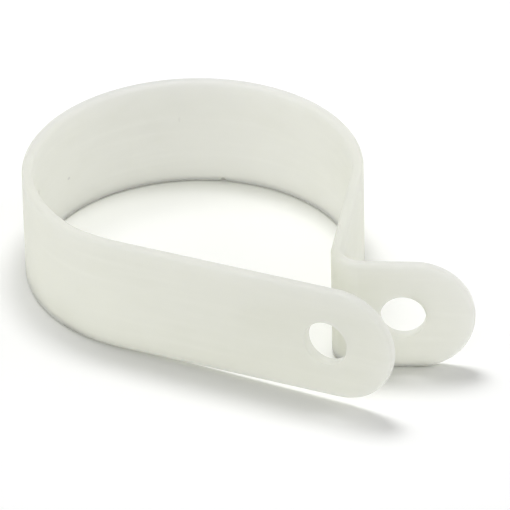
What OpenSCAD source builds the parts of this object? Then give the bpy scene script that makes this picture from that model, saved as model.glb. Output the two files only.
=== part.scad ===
// Two-hole cable clamp: one moulded strip bent into an open loop with two screw tabs.
// Millimetres. The origin is the middle of the loop, Z is its axis and the front leg runs along +X.

/* [Strip] */

// Width of the strip, measured along the loop axis
strip_w = 12.7; // [10:0.1:16]
// Thickness of the strip
strip_t = 1.3; // [1:0.05:2]
// Radius on the long edges of the strip
edge_r = 0.4; // [0.1:0.05:0.45]

/* [Loop] */

// Inside diameter of the loop
loop_d = 34; // [26:0.5:42]
// Angle by which the rear leg has sprung open from square to the front leg
open_angle = 17.5; // [12:0.5:30]

/* [Front leg] */

// Front screw hole from the loop axis, along the leg
front_hole_run = 24.5; // [20:0.1:34]
// Angle by which the free front leg leans upward
lean_angle = 2.1; // [0.5:0.1:4]
// Part of the loop that leans with the leg, as an angle
lean_part = 25; // [15:1:60]

/* [Rear leg] */

// Straight run of the rear leg from the loop to its bend
rear_leg = 14.3; // [10:0.1:18]
// Inside radius of the bend
bend_r = 2; // [1:0.1:4]
// Angle through which the bend turns
bend_turn = 95; // [85:0.5:110]
// Rear screw hole from the end of the bend
rear_hole_run = 4.4; // [3.5:0.1:9]

/* [Screw holes] */

// Diameter of both screw holes
hole_d = 4.8; // [3:0.1:6]
// Hole centre to the tip of its tab
hole_to_tip = 7.6; // [6:0.1:10]
// Radius that eases the rims of the holes
rim_r = 0.3; // [0.1:0.05:0.4]

/* [Hidden] */

$fn = 96;
nylon = [0.86, 0.86, 0.80];
loop_r = loop_d / 2;
loop_outer_r = loop_r + strip_t;
end_r = strip_w / 2;
// Straight part of a tab beyond its hole, before the round end starts
hole_to_end = hole_to_tip - end_r;
front_tab_run = front_hole_run + hole_to_end;
rear_tab_run = rear_hole_run + hole_to_end;
// Depth of the rounding of a rim: it stops just short of the face
rim_depth = 0.8 * rim_r;
cut_over = 1;
// The lean starts at this radius of the loop and shifts the edges there along the strip
lean_start = 270 - lean_part;
lean_shift = end_r * sin(lean_angle);
// A length set at an angle to the one before it starts this far inside it
nest_run = 0.05;
// and is smaller all round by this hair, in whole micrometres, so that the two never share a face
hair = 0.005 + ceil(1500 * lean_shift * lean_shift / loop_r) / 1000;

// Angle in degrees of an arc of the given length and radius
function angle_of(length, r) = length / r * 180 / PI;

// Section of the strip with its corner at the origin and its edges rounded
module section(size, inset) {
    translate([edge_r, inset])
        square([size.x - 2 * edge_r, size.y - 2 * inset]);
    translate([inset, edge_r])
        square([size.x - 2 * inset, size.y - 2 * edge_r]);
    for (x = [edge_r, size.x - edge_r], y = [edge_r, size.y - edge_r])
        translate([x, y])
            circle(edge_r - inset);
}

// The section on edge: thickness along x, width along y
module standing_section(inset) {
    translate([0, -end_r])
        section([strip_t, strip_w], inset);
}

// The section lying flat: width along x, thickness along y
module flat_section(inset) {
    translate([-end_r, 0])
        section([strip_w, strip_t], inset);
}

// Strip bent round the Z axis through an angle, starting on +X
module strip_arc(inside_r, angle, inset) {
    rotate_extrude(angle = angle)
        translate([inside_r, 0])
            standing_section(inset);
}

// Flat tab in the XY plane: a straight run along -Y up to the origin and a half-round end beyond it
module tab(run, inset) {
    rotate([90, 0, 0])
        linear_extrude(run)
            flat_section(inset);
    rotate_extrude(angle = 180)
        intersection() {
            flat_section(inset);
            square([end_r, strip_t]);
        }
}

// Screw hole on the Z axis, wider at both faces by the eased rims
module hole_cut() {
    hole_r = hole_d / 2;
    rotate_extrude()
        difference() {
            translate([0, -cut_over])
                square([hole_r + rim_r, strip_t + 2 * cut_over]);
            translate([hole_r, rim_depth])
                square([rim_r + cut_over, strip_t - 2 * rim_depth]);
            for (y = [rim_depth, strip_t - rim_depth])
                translate([hole_r + rim_r, y])
                    circle(rim_r);
        }
}

// The front part of the clamp, turned about the radius of the loop at which its lean starts
module lean_frame() {
    rotate([0, 0, lean_start])
        rotate([lean_angle, 0, 0])
            rotate([0, 0, -lean_start])
                children();
}

// The front leg laid in the XY plane, with the centre of its round end at the origin
module front_tab_frame() {
    translate([front_tab_run, -loop_outer_r, 0])
        rotate([0, -90, -90])
            children();
}

// The rear leg runs along -Y with its inner face at x = loop_r
module rear_leg_frame() {
    rotate([0, 0, open_angle])
        children();
}

// The centre of the bend
module bend_frame() {
    translate([loop_outer_r + bend_r, -rear_leg, 0])
        children();
}

// The rear tab laid in the XY plane, with the centre of its round end at the origin
module rear_tab_frame() {
    bend_frame()
        rotate([0, 0, bend_turn])
            translate([-bend_r - strip_t, -rear_tab_run, 0])
                rotate([180, -90, 0])
                    children();
}

// The loop up to the start of the lean, the rear leg and the bend
module loop_and_rear_leg() {
    strip_arc(loop_r, lean_start - open_angle, 0);
    translate([loop_r, 0, 0])
        rotate([90, 0, 0])
            linear_extrude(rear_leg)
                standing_section(0);
    bend_frame()
        rotate([0, 0, 180])
            strip_arc(bend_r, bend_turn, 0);
}

// The end of the loop and the front leg with its tab
module front_leg() {
    rotate([0, 0, -90])
        mirror([0, 1, 0])
            strip_arc(loop_r, lean_part + angle_of(lean_shift + nest_run, loop_r), hair);
    front_tab_frame()
        tab(front_tab_run, hair);
}

module strip() {
    color(nylon)
        difference() {
            union() {
                rear_leg_frame() {
                    loop_and_rear_leg();
                    rear_tab_frame()
                        tab(rear_tab_run + nest_run, hair);
                }
                lean_frame()
                    front_leg();
            }
            rear_leg_frame()
                rear_tab_frame()
                    translate([0, -hole_to_end, 0])
                        hole_cut();
            lean_frame()
                front_tab_frame()
                    translate([0, -hole_to_end, 0])
                        hole_cut();
        }
}

strip();
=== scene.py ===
"""Looks of a two-hole cable clamp: its moulded strip in natural nylon, with floor, light and camera."""
from math import asin, atan2, ceil, cos, pi, radians, sin

import bmesh
import bpy
from mathutils import Matrix, Vector


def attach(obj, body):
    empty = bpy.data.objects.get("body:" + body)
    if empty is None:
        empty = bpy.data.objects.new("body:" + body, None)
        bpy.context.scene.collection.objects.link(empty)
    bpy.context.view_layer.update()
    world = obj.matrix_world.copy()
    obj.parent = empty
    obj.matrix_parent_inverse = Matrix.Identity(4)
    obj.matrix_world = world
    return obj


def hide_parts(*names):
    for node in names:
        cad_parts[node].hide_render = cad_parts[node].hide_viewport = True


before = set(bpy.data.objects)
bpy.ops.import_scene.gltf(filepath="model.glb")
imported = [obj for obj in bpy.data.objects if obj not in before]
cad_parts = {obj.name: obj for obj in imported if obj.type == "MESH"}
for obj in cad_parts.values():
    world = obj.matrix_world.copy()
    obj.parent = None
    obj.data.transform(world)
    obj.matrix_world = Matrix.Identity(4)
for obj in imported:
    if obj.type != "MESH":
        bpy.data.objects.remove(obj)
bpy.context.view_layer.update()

MM = 0.001

# Sizes of the strip in millimetres and radians, as in the part's source
STRIP_W = 12.7
STRIP_T = 1.3
EDGE_R = 0.4
LOOP_R = 17
OPEN = radians(17.5)
FRONT_HOLE = 24.5
LEAN = radians(2.1)
LEAN_PART = radians(25)
REAR_LEG = 14.3
BEND_R = 2
BEND_TURN = radians(95)
REAR_HOLE = 4.4
HOLE_R = 2.4
HOLE_TO_TIP = 7.6
RIM_R = 0.3
# Depth of the rounding of a rim: it stops just short of the face
RIM_DEPTH = 0.8 * RIM_R
# The mesh stays this far inside the outline of the solid
HAIR = 0.012

# Radius of the round ends, and half width of the flat faces between the rounded edges
END_R = STRIP_W / 2
FACE_V = END_R - HAIR - EDGE_R
# A rim turns by this angle from the wall of its hole, and meets the face at this radius
RIM_ANGLE = asin(RIM_DEPTH / RIM_R)
RIM_FACE_R = HOLE_R + RIM_R * (1 - cos(RIM_ANGLE))

# Angle of the loop at the start of the front leg
LEG_ANGLE = 1.5 * pi
# Lengths along the middle of the strip, and the place of the rear hole
LOOP_MID = LOOP_R + STRIP_T / 2
LOOP_LEN = LOOP_MID * (LEG_ANGLE - OPEN)
BEND_MID = BEND_R + STRIP_T / 2
BEND_LEN = BEND_MID * BEND_TURN
REAR_CENTRE = -(LOOP_LEN + REAR_LEG + BEND_LEN + REAR_HOLE)

# The lean of the front leg turns about this radius of the loop and comes in over a short length
LEAN_AXIS = Vector((cos(LEG_ANGLE - LEAN_PART), sin(LEG_ANGLE - LEAN_PART), 0))
LEAN_U = -LOOP_MID * LEAN_PART
LEAN_EASE = 5

# A small nick in the lower inside edge of the loop
NICK_U = -50.45
NICK_REACH = 0.6
NICK_DEPTH = 0.2

# Longest step between rows of faces on the straight lengths, the loop, the bend and the nick
STRAIGHT_STEP = 0.45
LOOP_STEP = 0.35
BEND_STEP = 0.14
NICK_STEP = 0.1
# Faces across the strip, round a round end, from there to a hole, and round an edge or rim
COLUMNS = 24
END_STEPS = 44
HOLE_RINGS = 6
ROUND_STEPS = 4
# The rings of faces round a hole start this far before it
NECK = 3.6
# Edges that turn by more than this are shaded sharp
SHARP_ANGLE = radians(33)


def turned(x, y, angle):
    """The point (x, y) turned about the origin."""
    return x * cos(angle) - y * sin(angle), x * sin(angle) + y * cos(angle)


def smooth(share):
    """A smooth step from 0 to 1."""
    share = min(max(share, 0), 1)
    return share * share * (3 - 2 * share)


def rear_place(run, w):
    """x and y of a point of the rear leg, its bend or its tab, at a length beyond the loop."""
    if run <= REAR_LEG:
        return turned(LOOP_R + w, -run, OPEN)
    angle = min((run - REAR_LEG) / BEND_MID, BEND_TURN)
    beyond = max(run - REAR_LEG - BEND_LEN, 0)
    x, y = turned(BEND_R + STRIP_T - w, beyond, pi + angle)
    return turned(LOOP_R + STRIP_T + BEND_R + x, y - REAR_LEG, OPEN)


def place(u, v, w):
    """Where a point of the flat strip lies in the bent clamp, in millimetres.

    u runs along the strip, from the rear tab through the loop (u = 0 at its end) to the front tab.
    v runs across it, and w through its thickness, from the inside of the loop outwards.
    """
    if u >= 0:
        x, y = u, -LOOP_R - w
    elif u >= -LOOP_LEN:
        x, y = turned(LOOP_R + w, 0, LEG_ANGLE + u / LOOP_MID)
    else:
        x, y = rear_place(-u - LOOP_LEN, w)
    lean = LEAN * smooth((u - LEAN_U) / LEAN_EASE)
    return Matrix.Rotation(lean, 3, LEAN_AXIS) @ Vector((x, y, v))


def nicked(u, v, w):
    """A point of the flat strip, pushed inwards where the nick is."""
    away = Vector((u - NICK_U, v + END_R, w)).length
    depth = NICK_DEPTH * (1 - smooth(away / NICK_REACH))
    return u, v + depth, w + depth


def stations(ends, steps):
    """Even steps between the ends of some lengths in a row, each length with its own longest step."""
    out = [ends[0]]
    for start, end, step in zip(ends, ends[1:], steps):
        count = ceil((end - start) / step)
        out += [start + (end - start) * i / count for i in range(1, count + 1)]
    return out


class Pattern:
    """The flat pattern of one face of the strip: points, quads, outline and hole rims."""

    def __init__(self):
        self.points = []
        self.quads = []
        self.outline = []
        self.rims = []

    def add(self, u, v):
        """Adds a point and returns its index."""
        self.points.append((u, v))
        return len(self.points) - 1

    def angles(self, indices, centre):
        """The angles of some points as seen from a point on the middle line."""
        return [atan2(self.points[i][1], self.points[i][0] - centre) for i in indices]

    def bridge(self, first, second, closed=False):
        """Adds quads between two rows of points."""
        pairs = list(zip(first, second))
        if closed:
            pairs.append(pairs[0])
        for (a, b), (c, d) in zip(pairs, pairs[1:]):
            self.quads.append((a, c, d, b))

    def tab(self, neck, centre, way):
        """Adds the end of the strip round one hole, from the row of points across its neck.

        way is +1 or -1, the direction along u. Returns the new points of the outline with their normals.
        """
        end = centre + way * (HOLE_TO_TIP - END_R)
        neck_u = self.points[neck[0]][0]
        side = stations([0, abs(end - neck_u)], [STRAIGHT_STEP])[1:-1]
        edge = [(self.add(neck_u + way * s, FACE_V), (0, 1)) for s in side]
        for i in range(END_STEPS + 1):
            turn = pi * (i / END_STEPS)
            normal = (way * sin(turn), cos(turn))
            edge.append((self.add(end + FACE_V * normal[0], FACE_V * normal[1]), normal))
        edge += [(self.add(neck_u + way * s, -FACE_V), (0, -1)) for s in reversed(side)]
        ring = neck + [index for index, _ in edge]
        angles = self.angles(ring, centre)
        outer = ring
        for step in range(1, HOLE_RINGS + 1):
            share = step / HOLE_RINGS
            inner = []
            for index, angle in zip(ring, angles):
                u, v = self.points[index]
                rim_u, rim_v = centre + RIM_FACE_R * cos(angle), RIM_FACE_R * sin(angle)
                inner.append(self.add(u + (rim_u - u) * share, v + (rim_v - v) * share))
            self.bridge(outer, inner, closed=True)
            outer = inner
        self.rims.append((outer, centre))
        return edge


def strip_pattern():
    """The whole strip laid flat, as one pattern."""
    pattern = Pattern()
    leg_end = -LOOP_LEN - REAR_LEG
    ends = [
        REAR_CENTRE + NECK,
        leg_end - BEND_LEN,
        leg_end,
        -LOOP_LEN,
        NICK_U - NICK_REACH,
        NICK_U + NICK_REACH,
        0,
        FRONT_HOLE - NECK,
    ]
    steps = [STRAIGHT_STEP, BEND_STEP, STRAIGHT_STEP, LOOP_STEP, NICK_STEP, LOOP_STEP, STRAIGHT_STEP]
    across = [FACE_V * (2 * i / COLUMNS - 1) for i in range(COLUMNS + 1)]
    rows = [[pattern.add(u, v) for v in across] for u in stations(ends, steps)]
    for first, second in zip(rows, rows[1:]):
        pattern.bridge(first, second)
    front = pattern.tab(rows[-1], FRONT_HOLE, 1)
    rear = pattern.tab(rows[0], REAR_CENTRE, -1)
    upper = [(row[-1], (0, 1)) for row in rows]
    lower = [(row[0], (0, -1)) for row in rows]
    pattern.outline = upper + front + lower[::-1] + rear[::-1]
    return pattern


def rounded(out, depth):
    """A profile through the thickness, the same at both faces: steps of (distance outwards, w)."""
    near = list(zip(out, depth))
    return near + [(reach, STRIP_T - w) for reach, w in reversed(near)]


def strip_mesh(pattern):
    """The closed mesh of the strip, with each point's place on the flat strip in an attribute."""
    bm = bmesh.new()
    layer = bm.verts.layers.float_vector.new("strip")

    def point(u, v, w):
        """Adds a point of the flat strip at its place in the clamp."""
        vert_u, vert_v, vert_w = nicked(u, v, w)
        vert = bm.verts.new(place(vert_u, vert_v, HAIR + vert_w * (1 - 2 * HAIR / STRIP_T)) * MM)
        vert[layer] = (u, v, w)
        return vert

    def wall(rings):
        """Adds faces between closed rings of points."""
        for first, second in zip(rings, rings[1:]):
            for i in range(len(first)):
                bm.faces.new((first[i - 1], first[i], second[i], second[i - 1]))

    inner = [point(u, v, 0) for u, v in pattern.points]
    outer = [point(u, v, STRIP_T) for u, v in pattern.points]
    for quad in pattern.quads:
        bm.faces.new([inner[i] for i in quad])
        bm.faces.new([outer[i] for i in reversed(quad)])

    quarter = [pi / 2 * i / ROUND_STEPS for i in range(1, ROUND_STEPS + 1)]
    profile = rounded([EDGE_R * sin(a) for a in quarter], [EDGE_R * (1 - cos(a)) for a in quarter])
    rings = [[inner[i] for i, _ in pattern.outline]]
    for reach, w in profile:
        ring = []
        for index, normal in pattern.outline:
            u, v = pattern.points[index]
            ring.append(point(u + reach * normal[0], v + reach * normal[1], w))
        rings.append(ring)
    wall(rings + [[outer[i] for i, _ in pattern.outline]])

    eased = [RIM_ANGLE * (1 - i / ROUND_STEPS) for i in range(1, ROUND_STEPS + 1)]
    radii = [HOLE_R + RIM_R * (1 - cos(a)) for a in eased]
    profile = rounded(radii, [RIM_DEPTH - RIM_R * sin(a) for a in eased])
    for rim, centre in pattern.rims:
        angles = pattern.angles(rim, centre)
        rings = [[point(centre + r * cos(a), r * sin(a), w) for a in angles] for r, w in profile]
        wall([[inner[i] for i in rim]] + rings + [[outer[i] for i in rim]])

    bmesh.ops.recalc_face_normals(bm, faces=bm.faces)
    mesh = bpy.data.meshes.new("clamp_strip")
    bm.to_mesh(mesh)
    bm.free()
    mesh.shade_smooth()
    mesh.set_sharp_from_angle(angle=SHARP_ANGLE)
    return mesh


def feed(tree, socket, value):
    """Links another node's socket to an input, or sets the input's value."""
    if isinstance(value, bpy.types.NodeSocket):
        tree.links.new(value, socket)
    else:
        socket.default_value = value


def add_node(tree, kind, inputs=(), **settings):
    """A shader node with its settings, and its inputs given as values or as sockets to link."""
    node = tree.nodes.new(kind)
    for name, value in settings.items():
        setattr(node, name, value)
    for key, value in dict(inputs).items():
        feed(tree, node.inputs[key], value)
    return node


def math_node(tree, operation, a, b):
    """The result of an operation on two numbers."""
    return add_node(tree, "ShaderNodeMath", {0: a, 1: b}, operation=operation).outputs[0]


def vector_node(tree, operation, a, b):
    """The result of an operation on two vectors."""
    return add_node(tree, "ShaderNodeVectorMath", {0: a, 1: b}, operation=operation).outputs["Vector"]


def ramp_node(tree, value, low, high, to_low, to_high):
    """A smooth step from to_low, where value is low, to to_high, where it is high."""
    inputs = {"Value": value, "From Min": low, "From Max": high, "To Min": to_low, "To Max": to_high}
    return add_node(tree, "ShaderNodeMapRange", inputs, interpolation_type="SMOOTHSTEP").outputs["Result"]


def noise_node(tree, vector, stretch, detail=2.0):
    """Noise on the flat strip: stretch gives the cycles per millimetre along, across and through it."""
    stretched = vector_node(tree, "MULTIPLY", vector, stretch)
    inputs = {"Vector": stretched, "Scale": 1.0, "Detail": detail}
    return add_node(tree, "ShaderNodeTexNoise", inputs).outputs["Fac"]


def bump_node(tree, shape, strength, height, below=None):
    """A normal bent by bumps of a height in millimetres, on top of the bumps below them."""
    inputs = {"Height": shape, "Strength": strength, "Distance": height * MM}
    if below is not None:
        inputs["Normal"] = below
    return add_node(tree, "ShaderNodeBump", inputs).outputs["Normal"]


def mix_node(tree, factor, a, b):
    """A colour between a, where factor is 0, and b, where it is 1."""
    node = add_node(tree, "ShaderNodeMix", data_type="RGBA")
    sockets = {socket.identifier: socket for socket in node.inputs}
    for name, value in (("Factor_Float", factor), ("A_Color", a), ("B_Color", b)):
        feed(tree, sockets[name], value)
    return next(socket for socket in node.outputs if socket.identifier == "Result_Color")


# Colours of the nylon, of the specks and scratches on it, and of the painted shade in the nick
NYLON = (0.635, 0.65, 0.52, 1)
PALE = (0.675, 0.69, 0.56, 1)
SHADED = (0.595, 0.61, 0.475, 1)
DARK = (0.52, 0.525, 0.43, 1)
# Painted shade for the nick in the lower inside edge of the loop, where the recess meets the floor
NICK_PAINTED_SHADE = (0.40, 0.39, 0.33, 1)
GREY = (0.60, 0.61, 0.49, 1)

# Small marks on the inside of the loop: place along and across the flat strip, half sizes,
# colour, and opacity, which is the share of the light that doesn't enter the nylon there
MARKS = (
    (-30.85, -1.36, 0.24, 0.18, DARK, 0.35),
    (-23.10, 1.05, 0.26, 0.50, DARK, 0.3),
    (-45.63, 1.72, 0.14, 0.34, GREY, 0.17),
    # The nick's painted shade: a dark opaque patch that stands in for the shade in its recess
    (NICK_U, -6.00, 0.28, 0.24, NICK_PAINTED_SHADE, 1.0),
)
# Half size of every mark through the thickness
MARK_DEPTH = 0.3
# A mark fades between these shares of its half sizes
MARK_FULL = 0.5
MARK_END = 1.3

# Cycles of each noise per millimetre along, across and through the flat strip
CLOUDS = (0.11, 0.22, 0.5)
FLOW = (0.06, 0.9, 0.9)
GRAIN = (5.0, 5.0, 5.0)
RIPPLE = (0.35, 0.5, 0.5)
# Part of the noise's range over which the colours of the clouds and the flow and the skin's finish change
CLOUD_RANGE = (0.42, 0.75)
FLOW_RANGE = (0.45, 0.8)
SKIN_RANGE = (0.3, 0.7)
# Highest share of the shaded colour in the clouds, and of the pale colour in the flow
CLOUD_SHARE = 0.5
FLOW_SHARE = 0.4

# Satin skin: lowest and highest roughness of the grain, and what the streaks of the flow add to it
SMOOTH_GRAIN = 0.48
ROUGH_GRAIN = 0.56
ROUGH_STREAK = 0.08
# Heights of the bumps in millimetres, and how strongly they show
RIPPLE_HEIGHT = 0.02
RIPPLE_STRENGTH = 0.25
GRAIN_HEIGHT = 0.004
GRAIN_STRENGTH = 0.3

# How far red, green and blue light scatters in the nylon, as shares of a length in millimetres
SCATTER_SHARES = (1.0, 1.0, 0.85)
SCATTER_LENGTH = 20
NYLON_IOR = 1.53


def mark_mask(tree, strip, u, v, half_u, half_v):
    """1 in the middle of a mark, and 0 beyond its edge."""
    offset = vector_node(tree, "SUBTRACT", strip, (u, v, 0))
    scaled = vector_node(tree, "DIVIDE", offset, (half_u, half_v, MARK_DEPTH))
    away = add_node(tree, "ShaderNodeVectorMath", {0: scaled}, operation="LENGTH").outputs["Value"]
    return ramp_node(tree, away, MARK_FULL, MARK_END, 1.0, 0.0)


def nylon_material():
    """Natural nylon: off-white, translucent and satin, with soft clouds, moulding flow and small marks."""
    material = bpy.data.materials.new("natural_nylon")
    material.use_nodes = True
    tree = material.node_tree
    shader = tree.nodes["Principled BSDF"]
    strip = add_node(tree, "ShaderNodeAttribute", attribute_name="strip").outputs["Vector"]

    clouds = noise_node(tree, strip, CLOUDS, detail=3.0)
    flow = noise_node(tree, strip, FLOW)
    grain = noise_node(tree, strip, GRAIN)
    ripple = noise_node(tree, strip, RIPPLE)

    colour = mix_node(tree, ramp_node(tree, clouds, *CLOUD_RANGE, 0.0, CLOUD_SHARE), NYLON, SHADED)
    colour = mix_node(tree, ramp_node(tree, flow, *FLOW_RANGE, 0.0, FLOW_SHARE), colour, PALE)
    clear = 1.0
    # The last of the marks is painted shade in the nick; the others are specks and a scratch
    for *place_and_size, mark_or_shade_colour, opacity in MARKS:
        mask = mark_mask(tree, strip, *place_and_size)
        colour = mix_node(tree, mask, colour, mark_or_shade_colour)
        clear = math_node(tree, "SUBTRACT", clear, math_node(tree, "MULTIPLY", mask, opacity))
    tree.links.new(colour, shader.inputs["Base Color"])
    # Light scatters inside the nylon beside the marks, and less where a mark is opaque
    tree.links.new(clear, shader.inputs["Subsurface Weight"])

    streaks = ramp_node(tree, flow, *SKIN_RANGE, 0.0, ROUGH_STREAK)
    skin_roughness = ramp_node(tree, grain, *SKIN_RANGE, SMOOTH_GRAIN, ROUGH_GRAIN)
    tree.links.new(math_node(tree, "ADD", streaks, skin_roughness), shader.inputs["Roughness"])

    waves = bump_node(tree, ripple, RIPPLE_STRENGTH, RIPPLE_HEIGHT)
    skin = bump_node(tree, grain, GRAIN_STRENGTH, GRAIN_HEIGHT, waves)
    tree.links.new(skin, shader.inputs["Normal"])

    shader.inputs["IOR"].default_value = NYLON_IOR
    shader.inputs["Subsurface Radius"].default_value = SCATTER_SHARES
    shader.inputs["Subsurface Scale"].default_value = SCATTER_LENGTH * MM
    return material


def make_strip():
    """The clamp's one piece."""
    strip = bpy.data.objects.new("clamp_strip", strip_mesh(strip_pattern()))
    bpy.context.collection.objects.link(strip)
    strip.modifiers.new("even_shading", "WEIGHTED_NORMAL").keep_sharp = True
    strip.data.materials.append(nylon_material())
    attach(strip, "root")
    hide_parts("strip")


# Camera: its angles, the pixel of a 510 x 510 picture that shows the origin, and the scale there
VIEW_AZIMUTH = radians(26.898)
VIEW_ELEVATION = radians(32.528)
VIEW_ROLL = radians(-1.276)
PICTURE = 510
FOCAL_PIXELS = 7000
ORIGIN_PIXEL = (193.866, 215.251)
PIXELS_PER_MM = 9.313
SENSOR_MM = 36

# Level directions to the camera's right and towards it, and the way up
ACROSS = Vector((cos(VIEW_AZIMUTH), sin(VIEW_AZIMUTH), 0))
TOWARDS = Vector((sin(VIEW_AZIMUTH), -cos(VIEW_AZIMUTH), 0))
UP = Vector((0, 0, 1))


def make_camera():
    """The camera at the photo's angle, with the clamp where the photo shows it."""
    data = bpy.data.cameras.new("camera")
    data.sensor_width = SENSOR_MM
    data.lens = FOCAL_PIXELS / PICTURE * SENSOR_MM
    camera = bpy.data.objects.new("camera", data)
    bpy.context.collection.objects.link(camera)
    back = TOWARDS * cos(VIEW_ELEVATION) + UP * sin(VIEW_ELEVATION)
    level_up = back.cross(ACROSS)
    right = ACROSS * cos(VIEW_ROLL) + level_up * sin(VIEW_ROLL)
    up = level_up * cos(VIEW_ROLL) - ACROSS * sin(VIEW_ROLL)
    beside = (ORIGIN_PIXEL[0] - PICTURE / 2) / PIXELS_PER_MM
    above = (PICTURE / 2 - ORIGIN_PIXEL[1]) / PIXELS_PER_MM
    away = FOCAL_PIXELS / PIXELS_PER_MM
    turn = Matrix((right, up, back)).transposed().to_4x4()
    camera.matrix_world = Matrix.Translation((back * away - right * beside - up * above) * MM) @ turn
    bpy.context.scene.camera = camera


# The overhead lamp's place and width in metres, and its brightness
OVERHEAD_PLACE = UP * 0.164 + ACROSS * 0.010 - TOWARDS * 0.030
OVERHEAD_WIDTH = 0.055
OVERHEAD_SHARE = 0.385
# Distance of the far lamps in metres, and each one's name, direction, width in metres and brightness
LAMP_FAR = 1.5
FAR_LAMPS = (
    ("back_left", 125, 65, 0.58, 0.17),
    ("right", 0, 24, 1.1, 0.22),
    ("front", 270, 40, 1.1, 0.11),
    ("front_left", 205, 22, 1.1, 0.155),
)
# Brightness of the light from all round
AMBIENT = 0.325
# Brightness that the camera sees on the floor beside the light that falls there
FLOOR_LIFT = 0.03
# Half the floor's width in metres, and its finish
FLOOR_REACH = 3
FLOOR_ROUGHNESS = 0.9
WHITE = (1, 1, 1, 1)


def way_to(azimuth, elevation):
    """A direction in degrees: azimuth 0 is right for the camera, 90 behind, 180 left, 270 in front."""
    level = ACROSS * cos(radians(azimuth)) - TOWARDS * sin(radians(azimuth))
    return level * cos(radians(elevation)) + UP * sin(radians(elevation))


def make_lamp(name, position, width, share):
    """A round soft lamp aimed at the middle of the clamp.

    share is the brightness that it gives to a white face turned to it.
    """
    data = bpy.data.lights.new(name, "AREA")
    data.shape = "DISK"
    data.size = width
    data.energy = share * pi ** 2 * (position.length_squared + (width / 2) ** 2)
    lamp = bpy.data.objects.new(name, data)
    bpy.context.collection.objects.link(lamp)
    lamp.location = position
    lamp.rotation_euler = position.to_track_quat("Z", "Y").to_euler()
    lamp.visible_camera = False


def make_lamps():
    """The near lamp above the clamp and the far ones round it."""
    make_lamp("overhead", OVERHEAD_PLACE, OVERHEAD_WIDTH, OVERHEAD_SHARE)
    for name, azimuth, elevation, width, share in FAR_LAMPS:
        make_lamp(name, way_to(azimuth, elevation) * LAMP_FAR, width, share)


def make_world():
    """Even white light from all round."""
    world = bpy.data.worlds.new("studio")
    bpy.context.scene.world = world
    world.use_nodes = True
    background = world.node_tree.nodes["Background"]
    background.inputs["Color"].default_value = WHITE
    background.inputs["Strength"].default_value = AMBIENT


def make_floor():
    """White floor under the lower edge of the clamp, lifted a little for the camera and in reflections."""
    bm = bmesh.new()
    bmesh.ops.create_grid(bm, x_segments=1, y_segments=1, size=FLOOR_REACH)
    mesh = bpy.data.meshes.new("floor")
    bm.to_mesh(mesh)
    bm.free()
    floor = bpy.data.objects.new("floor", mesh)
    bpy.context.collection.objects.link(floor)
    floor.location.z = (HAIR - END_R) * MM
    material = bpy.data.materials.new("white_floor")
    material.use_nodes = True
    tree = material.node_tree
    shader = tree.nodes["Principled BSDF"]
    shader.inputs["Base Color"].default_value = WHITE
    shader.inputs["Roughness"].default_value = FLOOR_ROUGHNESS
    shader.inputs["Specular IOR Level"].default_value = 0
    shader.inputs["Emission Color"].default_value = WHITE
    rays = add_node(tree, "ShaderNodeLightPath").outputs
    seen = math_node(tree, "MAXIMUM", rays["Is Glossy Ray"], rays["Is Transmission Ray"])
    seen = math_node(tree, "MAXIMUM", seen, rays["Is Camera Ray"])
    lift = math_node(tree, "MULTIPLY", seen, FLOOR_LIFT)
    tree.links.new(lift, shader.inputs["Emission Strength"])
    mesh.materials.append(material)


make_strip()
make_camera()
make_lamps()
make_world()
make_floor()
bpy.context.scene.view_settings.view_transform = "Standard"
